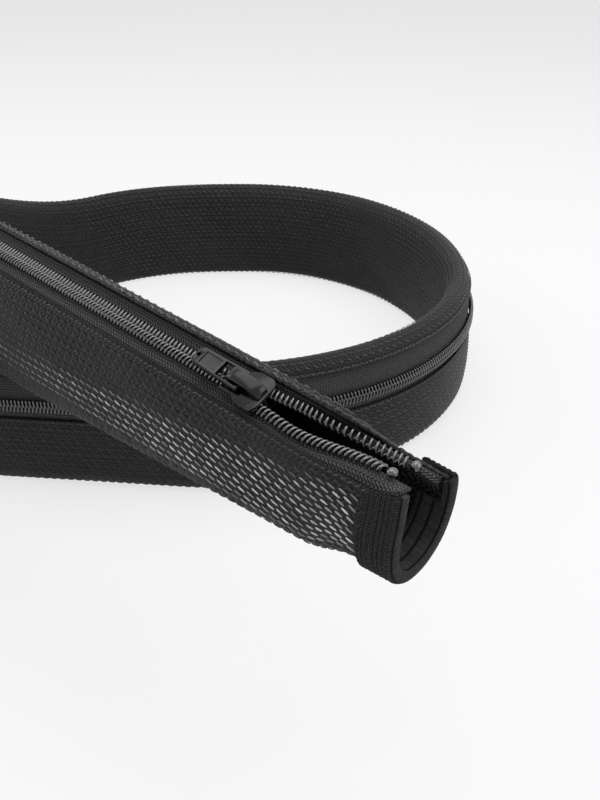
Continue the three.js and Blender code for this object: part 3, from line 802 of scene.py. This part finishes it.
class WovenWall:
    """The woven wall: a doubled sheet with ribs, and the floats of its glossy yarns, coloured near white
    as a painted highlight in a band low on the run and along the top rim.
    """

    # Painted highlight: between these top shares and the bottom share, the run's floats are coloured near
    # white, fading out along the run towards the loop.
    PAINTED_HIGHLIGHT_STATIONS = (8, 40, 70, 110, 150, 196)
    PAINTED_HIGHLIGHT_TOP = (0.03, 0.07, 0.13, 0.18, 0.21, 0.24)
    PAINTED_HIGHLIGHT_BOTTOM = 0.29
    PAINTED_HIGHLIGHT_FADE_STATIONS = (8, 70, 110, 150, 196, 215)
    PAINTED_HIGHLIGHT_FADE = (1.0, 1.0, 0.7, 0.3, 0.1, 0.0)

    def __init__(self, wall: WallField, finishes: Materials) -> None:
        """Make the wall's pieces.

        Args:
            wall: The wall line.
            finishes: The finishes.
        """
        self.wall = wall
        self.random = np.random.default_rng(7)
        q = WEAVE
        end = wall.path.total - q.hem
        again = q.join - q.overlap
        near = self._sheet("woven_wall_run", q.hem, q.join, 0.8, 150)
        far = self._sheet("woven_wall_loop", again, end, 1.6, 118)
        for piece, length in ((near, q.join - q.hem), (far, end - again)):
            dress(piece, finishes.woven)
        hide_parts("mesh_sleeve")
        for name, start, stop in (("floats_run", 9.6, 214.0), ("floats_loop", 214.6, end - 9.0)):
            dress(self._floats(name, start, stop), finishes.yarn)
        dress(self._seam_stitches(), finishes.yarn)

    def _relief(self, s: Array, share: Array, width: Array) -> Array:
        across = share * width
        rib = WEAVE.rib_height * np.cos(across * 2 * math.pi / WEAVE.rib_pitch)
        slow = WEAVE.wander * np.sin(s / 31.0 + 3 * share) * np.sin(s / 17.0 + 7 * share)
        calm = ease((s - 14) / 25)
        return rib + slow * calm

    def _sheet(self, name: str, start: float, stop: float, step: float, count: int) -> bpy.types.Object:
        q = SECTION
        s = np.linspace(start, stop, round((stop - start) / step) + 1)[:, None]
        share = np.linspace(0, 1, count)
        width = np.interp(s, self.wall.s, self.wall.width)
        outer = self._relief(s, share, width) - 0.12
        inner_share = share[::-2]
        inner = np.full_like(inner_share, -q.fabric)
        shares = np.concatenate([share, inner_share])
        offsets = np.concatenate([outer, np.broadcast_to(inner, (len(s), len(inner)))], axis=1)
        points = self.wall.point(s, shares[None], offsets)
        uv = np.stack(np.broadcast_arrays(s / 10, shares[None] * width / 10), -1)
        faces = grid_faces(len(s), len(shares), wrap=True)
        return closed(mesh_piece(name, points, faces, uv))

    # Each float's value: random tone, plus a painted highlight in a band low on the run's wall and along
    # the top rim.
    def _tone_and_painted_highlight(self, s: Array, share: Array) -> Array:
        highlight_top = np.interp(s, self.PAINTED_HIGHLIGHT_STATIONS, self.PAINTED_HIGHLIGHT_TOP)
        strength = np.interp(s, self.PAINTED_HIGHLIGHT_FADE_STATIONS, self.PAINTED_HIGHLIGHT_FADE)
        # Painted highlight band low on the run's wall.
        lower = ease((share - highlight_top) / 0.05) * (1 - ease((share - self.PAINTED_HIGHLIGHT_BOTTOM) / 0.05))
        # Painted highlight along the top rim by the back seam.
        rim = 0.16 * ease((share - 0.93) / 0.03) * ease((s - 30) / 30) * (1 - ease((s - 110) / 60))
        chance = self.random.uniform(0.25, 1.0, s.shape)
        return lower * strength * chance + rim * chance + 0.035 * chance

    def _lozenges(
        self, s: Array, share: Array, size: tuple, lean: float = 0.0, aslant: float = 0.0
    ) -> tuple:
        length, across, height = size
        a = np.array([-1, -0.6, -0.6, -0.6, 0, 0, 0, 0.6, 0.6, 0.6, 1.0])
        b = np.array([0, -0.8, 0, 0.8, -1, 0, 1, -0.8, 0, 0.8, 0.0])
        h = np.array([-0.3, -0.25, 0.75, -0.25, -0.2, 1, -0.2, -0.25, 0.75, -0.25, -0.3])
        along = s[:, None] + a * length / 2 + b * lean
        width = np.interp(s, self.wall.s, self.wall.width)[:, None]
        aside = share[:, None] + (b * across / 2 + a * (lean + aslant)) / width
        points = self.wall.point(along, aside, h * height)
        tri = np.array([
            (0, 1, 2), (0, 2, 3), (1, 4, 5), (1, 5, 2), (2, 5, 6), (2, 6, 3),
            (4, 7, 8), (4, 8, 5), (5, 8, 9), (5, 9, 6), (7, 10, 8), (8, 10, 9),
        ])
        faces = (tri[None] + 11 * np.arange(len(s))[:, None, None]).reshape(-1, 3)
        return points, faces

    def _floats(self, name: str, start: float, stop: float) -> bpy.types.Object:
        count, period = WEAVE.float_rows, WEAVE.float_pitch
        row = np.arange(count)[:, None]
        column = np.arange(int((stop - start) / period) - 1)[None]
        s = start + period * (column + 0.75 + 0.5 * (row % 2))
        share = np.broadcast_to((row + 0.5) / count, s.shape)
        s = s + self.random.normal(0, 0.10, s.shape)
        keep = (share > 0.012) & (share < 0.988)
        s, share = s[keep], share[keep]
        points, faces = self._lozenges(s, share, WEAVE.float_size, aslant=WEAVE.float_slant)
        piece = mesh_piece(name, points, faces)
        # Each float carries its random tone and its painted highlight.
        store_tone_and_painted_highlight(piece, np.repeat(self._tone_and_painted_highlight(s, share), 11))
        return piece

    def _seam_stitches(self) -> bpy.types.Object:
        s = np.arange(10.0, self.wall.path.total - 11, WEAVE.stitch_pitch)
        both = np.concatenate([s, s])
        share = np.concatenate([np.full_like(s, 0.011), np.full_like(s, 0.989)])
        points, faces = self._lozenges(both, share, WEAVE.stitch_size, lean=WEAVE.stitch_lean)
        piece = mesh_piece("seam_stitches", points, faces)
        store_tone_and_painted_highlight(piece, np.full(len(both) * 11, 0.06))
        return piece


class ZipTape:
    """One knitted tape, sewn under the wall's edge and carrying its coil half."""

    END = 2.4
    TUCK = 2.0
    TUCK_SPAN = 28.0

    def __init__(self, line: ZipLine, side: Side, finishes: Materials) -> None:
        """Make the tape.

        Args:
            line: The zip's engagement lines.
            side: Half of the zip.
            finishes: The finishes.
        """
        self.line = line
        self.side = side
        name = side.name.lower() + "_tape"
        piece, width, length = self._strip(name + "_cloth")
        dress(piece, finishes.tape)
        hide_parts(name)

    def _under(self, s: Array, v: float, tuck: float) -> Array:
        share = tuck / self.TUCK_SPAN
        share = share if self.side is Side.FRONT else 1 - share
        inset = SECTION.fabric + SECTION.gap + ZIP.tape / 2
        n, z = self.line.wall.flat(s, np.full_like(s, share), np.full_like(s, v - inset))
        return np.stack([n, z], -1)

    def _strip(self, name: str) -> tuple:
        side = self.side
        total = self.line.wall.path.total
        s = np.arange(self.END, total - self.END, 1.0)
        engaged = self.line.point(s, side, np.zeros_like(s), np.zeros_like(s))
        span = np.linalg.norm(self._under(s, 0, 0) - engaged, axis=-1)
        flat = side.value * np.minimum(ZIP.slider_width / 2 + 0.3, 0.8 * span)
        half = ZIP.tape / 2
        layers = []
        for v in (half, -half):
            knee = self.line.point(s, side, flat, np.full_like(s, v))
            edge = self.line.point(s, side, np.full_like(s, side.value * 0.5), np.full_like(s, v))
            seam = self._under(s, v, 0)
            root = self._under(s, v, self.TUCK)
            steps = [root, seam, seam * 0.5 + knee * 0.5, knee, knee * 0.5 + edge * 0.5, edge]
            layers.append(np.stack(steps, 1))
        line = np.concatenate([layers[0], layers[1][:, ::-1]], axis=1)
        points = self.line.wall.path.place(s[:, None], line[..., 0], line[..., 1])
        across = np.cumsum(np.linalg.norm(np.diff(layers[0], axis=1), axis=-1), axis=1)
        across = np.concatenate([np.zeros((len(s), 1)), across], axis=1)
        across = np.concatenate([across, across[:, ::-1]], axis=1)
        uv = np.stack(np.broadcast_arrays(s[:, None] / 10, across / 10), -1)
        piece = closed(mesh_piece(name, points, grid_faces(len(s), line.shape[1], wrap=True), uv))
        return piece, float(across[:, 5].mean()) * MM, float(s[-1] - s[0]) * MM


class ZipCoil:
    """One coil half: a flattened spiral of monofilament at its true pitch."""

    TURN = 14
    ROUND = 6

    def __init__(self, line: ZipLine, side: Side, finishes: Materials) -> None:
        """Make the spiral.

        Args:
            line: The zip's engagement lines.
            side: Half of the zip.
            finishes: The finishes.
        """
        name = side.name.lower() + "_coil"
        piece = self._spiral(name + "_turns", line, side)
        dress(piece, finishes.coil)
        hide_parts(name)

    def _spiral(self, name: str, line: ZipLine, side: Side) -> bpy.types.Object:
        k = ZIP
        phase = 0.0 if side is Side.FRONT else k.pitch / 2
        start, stop = k.first + phase, line.wall.path.total - 11
        turns = int((stop - start) / k.pitch)
        angle = np.arange(turns * self.TURN + 1) * 2 * math.pi / self.TURN
        s = start + k.pitch * angle / (2 * math.pi)
        middle = (k.width - k.reach) / 2
        out = (k.width + k.reach) / 2 - k.wire
        rise = k.height / 2 - k.wire
        base = k.tape / 2 + k.seat + k.height / 2
        u = side.value * (middle - out * np.cos(angle))
        v = base + rise * np.sin(angle)
        path = line.place(s, side, u, v)
        centre = line.place(s, side, np.full_like(s, side.value * middle), np.full_like(s, base))
        tangent = np.gradient(path, axis=0)
        tangent /= np.linalg.norm(tangent, axis=1, keepdims=True)
        normal = path - centre
        normal -= np.sum(normal * tangent, axis=1, keepdims=True) * tangent
        normal /= np.linalg.norm(normal, axis=1, keepdims=True)
        other = np.cross(tangent, normal)
        a = np.arange(self.ROUND) * 2 * math.pi / self.ROUND
        ring = np.cos(a)[None, :, None] * normal[:, None] + np.sin(a)[None, :, None] * other[:, None]
        points = path[:, None] + ring * k.wire * MM
        return closed(mesh_piece(name, points, grid_faces(len(path), self.ROUND, wrap=True)))


class KnitBand:
    """A knitted band folded over one end of the sleeve, with rib columns and an overlocked edge."""

    AROUND = 260

    def __init__(self, wall: WallField, name: str, mouth: float, inward: int, finishes: Materials) -> None:
        """Make the band.

        Args:
            wall: The wall line.
            name: The solid that the band stands for.
            mouth: Station of the rim.
            inward: 1 where the sleeve goes on towards higher stations, or -1.
            finishes: The finishes.
        """
        self.wall = wall
        self.mouth = mouth
        self.inward = inward
        piece = self._fold(name + "_knit")
        dress(piece, finishes.knit)
        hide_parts(name)
        edge = self._bead(name + "_overlock")
        dress(edge, finishes.knit)

    def _profile(self) -> tuple:
        b, q = BAND, SECTION
        outer = q.gap + b.thickness
        back = -q.fabric - q.gap
        inner = back - b.thickness
        depth = np.linspace(b.length, 0.3, b.ribs * 8 + 1)
        rib = b.rib_height * np.abs(np.sin(math.pi * depth * b.ribs / b.length)) ** 0.7
        face = [(d, outer - 0.1 + r, 1.0) for d, r in zip(depth, rib)]
        rim = [(-0.2, outer - 0.1, 0.5), (-0.6, outer - 0.5, 0.3), (-0.72, (outer + inner) / 2, 0.0)]
        rim += [(-0.6, inner + 0.5, 0.0), (-0.2, inner + 0.1, 0.0)]
        inside = [(d, inner, 0.0) for d in np.linspace(0.6, b.length - 0.6, 9)]
        close = [(b.length - 0.6, back, 0.0), (0.6, back, 0.0), (0.6, q.gap, 0.0), (b.length, q.gap, 0.0)]
        profile = np.array(face + rim + inside + close)
        return profile, len(face) + len(rim)

    def _fold(self, name: str) -> bpy.types.Object:
        profile, inner_from = self._profile()
        share = np.linspace(0, 1, self.AROUND)[:, None]
        near_seam = np.minimum(share, 1 - share) < 0.125
        depth = np.broadcast_to(profile[:, 0], (self.AROUND, len(profile))).copy()
        inside = np.arange(len(profile)) >= inner_from
        inside[-2:] = False
        depth = np.where(near_seam & inside & (depth > 1.4), 1.4, depth)
        arc = share * float(self.wall.width[0 if self.inward > 0 else -1])
        column = np.floor(depth * BAND.ribs / BAND.length)
        lump = 0.16 * np.abs(np.sin(math.pi * (arc / BAND.stitch + 0.5 * (column % 2))))
        offset = profile[:, 1] + profile[:, 2] * (lump - 0.08)
        station = self.mouth + self.inward * depth
        n, z = self._beside(station, share, offset)
        points = self.wall.path.place(station, n, z)
        uv = np.stack(np.broadcast_arrays(arc / 10, np.cumsum(np.full(len(profile), 0.018))), -1)
        faces = grid_faces(self.AROUND, len(profile), wrap=True)
        return closed(mesh_piece(name, points, faces, uv))

    def _beside(self, station: Array, share: Array, offset: Array) -> tuple:
        inside = np.clip(station, 0, self.wall.path.total)
        return self.wall.flat(inside, share, offset)

    def _bead(self, name: str) -> bpy.types.Object:
        count = self.AROUND * 2
        share = np.linspace(0.0, 1.0, count)[:, None]
        arc = share * float(self.wall.width[0 if self.inward > 0 else -1])
        a = np.linspace(0, 2 * math.pi, 9)[:-1][None]
        lump = 0.5 * (1 + 0.32 * np.sin(arc * 2 * math.pi / 1.15))
        swing = 0.18 * np.sin(arc * 2 * math.pi / 1.15 + 1.4)
        station = self.mouth + self.inward * (BAND.length + 0.1 + swing + lump * 1.15 * np.cos(a))
        offset = SECTION.gap + BAND.thickness * 0.65 + lump * np.sin(a)
        n, z = self._beside(station, share, offset)
        points = self.wall.path.place(station, n, z)
        uv = np.stack(np.broadcast_arrays(arc / 10, a / 20), -1)
        return closed(mesh_piece(name, points, grid_faces(count, 8, wrap=True), uv))


class Slider:
    """The slider, its crown and the pull tab, with rounded edges and enamel."""

    ROUNDING = {"slider_body": 0.16, "slider_crown": 0.55, "pull_tab": 0.16}

    def __init__(self, finishes: Materials) -> None:
        """Dress the solids.

        Args:
            finishes: The finishes.
        """
        for name, radius in self.ROUNDING.items():
            self._round(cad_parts[name], radius, finishes.enamel)
        for name in ("front_coil_end", "back_coil_end"):
            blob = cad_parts[name]
            blob.modifiers.new("weld", "WELD").merge_threshold = 1e-6
            smooth = blob.modifiers.new("smooth", "SUBSURF")
            smooth.levels = smooth.render_levels = 2
            self._paint(blob, finishes.coil)

    @staticmethod
    def _paint(node: bpy.types.Object, material: bpy.types.Material) -> None:
        node.data.materials.clear()
        node.data.materials.append(material)
        node.data.polygons.foreach_set("use_smooth", np.ones(len(node.data.polygons), bool))

    def _round(self, node: bpy.types.Object, radius: float, material: bpy.types.Material) -> None:
        self._paint(node, material)
        node.modifiers.new("weld", "WELD").merge_threshold = 1e-6
        bevel = node.modifiers.new("round", "BEVEL")
        bevel.width = radius * MM
        bevel.segments = 3
        bevel.limit_method = "ANGLE"
        bevel.angle_limit = math.radians(38)
        bevel.harden_normals = True


def background_rays(tree: bpy.types.NodeTree, share: float) -> bpy.types.NodeSocket:
    """Weigh the rays that show the white background.

    Args:
        tree: Node tree of the floor or the world.
        share: Weight of a ray that shows the background.

    Returns:
        The weight: share for camera, glossy and transmission rays, 0 for the others.
    """
    rays = tree.nodes.new("ShaderNodeLightPath")
    total = rays.outputs["Is Camera Ray"]
    for name in ("Is Glossy Ray", "Is Transmission Ray"):
        either = tree.nodes.new("ShaderNodeMath")
        either.operation = "MAXIMUM"
        tree.links.new(total, either.inputs[0])
        tree.links.new(rays.outputs[name], either.inputs[1])
        total = either.outputs[0]
    scaled = tree.nodes.new("ShaderNodeMath")
    scaled.operation = "MULTIPLY"
    tree.links.new(total, scaled.inputs[0])
    scaled.inputs[1].default_value = share
    return scaled.outputs[0]


class Studio:
    """Camera, floor, backdrop light and lamps."""

    POSITION = (272.5, -248.4, 198.9)
    DIRECTION = (-0.578, 0.631, -0.518)
    LENS = 38.41
    FLOOR_GLOW = 0.7
    SKY = 0.3
    AIM = (0.0, -0.03, 0.05)
    LAMPS = (
        ("overhead", (0.05, 0.10, 0.85), 0.9, 5.4),
        ("left", (-0.75, -0.45, 0.55), 0.6, 2.6),
        ("right", (0.75, 0.25, 0.5), 0.5, 2.0),
    )

    def __init__(self) -> None:
        """Set the studio up."""
        self._camera()
        self._floor()
        self._world()
        for name, place, size, power in self.LAMPS:
            self._lamp(name, place, size, power)

    def _camera(self) -> None:
        camera = bpy.data.objects.new("camera", bpy.data.cameras.new("camera"))
        bpy.context.scene.collection.objects.link(camera)
        x, y = (self.POSITION[i] + LAY.centre[i] for i in range(2))
        camera.location = (x * MM, y * MM, self.POSITION[2] * MM)
        camera.rotation_euler = Vector(self.DIRECTION).to_track_quat("-Z", "Y").to_euler()
        camera.data.lens = self.LENS
        camera.data.sensor_width = 36.0
        camera.data.clip_start = 0.01
        bpy.context.scene.camera = camera

    def _floor(self) -> None:
        bpy.ops.mesh.primitive_plane_add(size=8, location=(0, 0, -0.0002))
        floor = bpy.context.object
        floor.name = "floor"
        material = bpy.data.materials.new("pale_floor")
        material.use_nodes = True
        tree = material.node_tree
        tree.nodes.clear()
        diffuse = tree.nodes.new("ShaderNodeBsdfDiffuse")
        diffuse.inputs[0].default_value = (0.85, 0.85, 0.85, 1)
        glow = tree.nodes.new("ShaderNodeEmission")
        glow.inputs[0].default_value = (1, 1, 1, 1)
        mix = tree.nodes.new("ShaderNodeMixShader")
        out = tree.nodes.new("ShaderNodeOutputMaterial")
        tree.links.new(background_rays(tree, self.FLOOR_GLOW), mix.inputs[0])
        tree.links.new(diffuse.outputs[0], mix.inputs[1])
        tree.links.new(glow.outputs[0], mix.inputs[2])
        tree.links.new(mix.outputs[0], out.inputs[0])
        floor.data.materials.append(material)

    def _world(self) -> None:
        world = bpy.data.worlds.new("studio")
        world.use_nodes = True
        tree = world.node_tree
        light = tree.nodes["Background"]
        light.inputs[0].default_value = (1, 1, 1, 1)
        light.inputs[1].default_value = self.SKY
        seen = tree.nodes.new("ShaderNodeBackground")
        seen.inputs[0].default_value = (1, 1, 1, 1)
        mix = tree.nodes.new("ShaderNodeMixShader")
        tree.links.new(background_rays(tree, 1.0), mix.inputs[0])
        tree.links.new(light.outputs[0], mix.inputs[1])
        tree.links.new(seen.outputs[0], mix.inputs[2])
        tree.links.new(mix.outputs[0], tree.nodes["World Output"].inputs[0])
        bpy.context.scene.world = world
        bpy.context.scene.view_settings.view_transform = "Standard"

    def _lamp(self, name: str, place: tuple, size: float, power: float) -> None:
        data = bpy.data.lights.new(name, "AREA")
        data.energy = power
        data.size = size
        lamp = bpy.data.objects.new(name, data)
        lamp.location = place
        aim = Vector(self.AIM) - Vector(place)
        lamp.rotation_euler = aim.to_track_quat("-Z", "Y").to_euler()
        bpy.context.scene.collection.objects.link(lamp)


def main() -> None:
    """Build every piece in order."""
    logging.basicConfig(level=logging.INFO, format="%(message)s")
    Studio()
    finishes = Materials()
    path = SleevePath(LAY)
    wall = WallField(path, SECTION)
    LOG.info("path %.1f mm", path.total)
    WovenWall(wall, finishes)
    line = ZipLine(wall, ZIP)
    for side in Side:
        ZipTape(line, side, finishes)
        ZipCoil(line, side, finishes)
        LOG.info("%s half of the zip", side.name.lower())
    KnitBand(wall, "mouth_band", 0.0, 1, finishes)
    KnitBand(wall, "far_band", path.total, -1, finishes)
    Slider(finishes)
    LOG.info("boxes written")


if __name__ == "__main__":
    main()
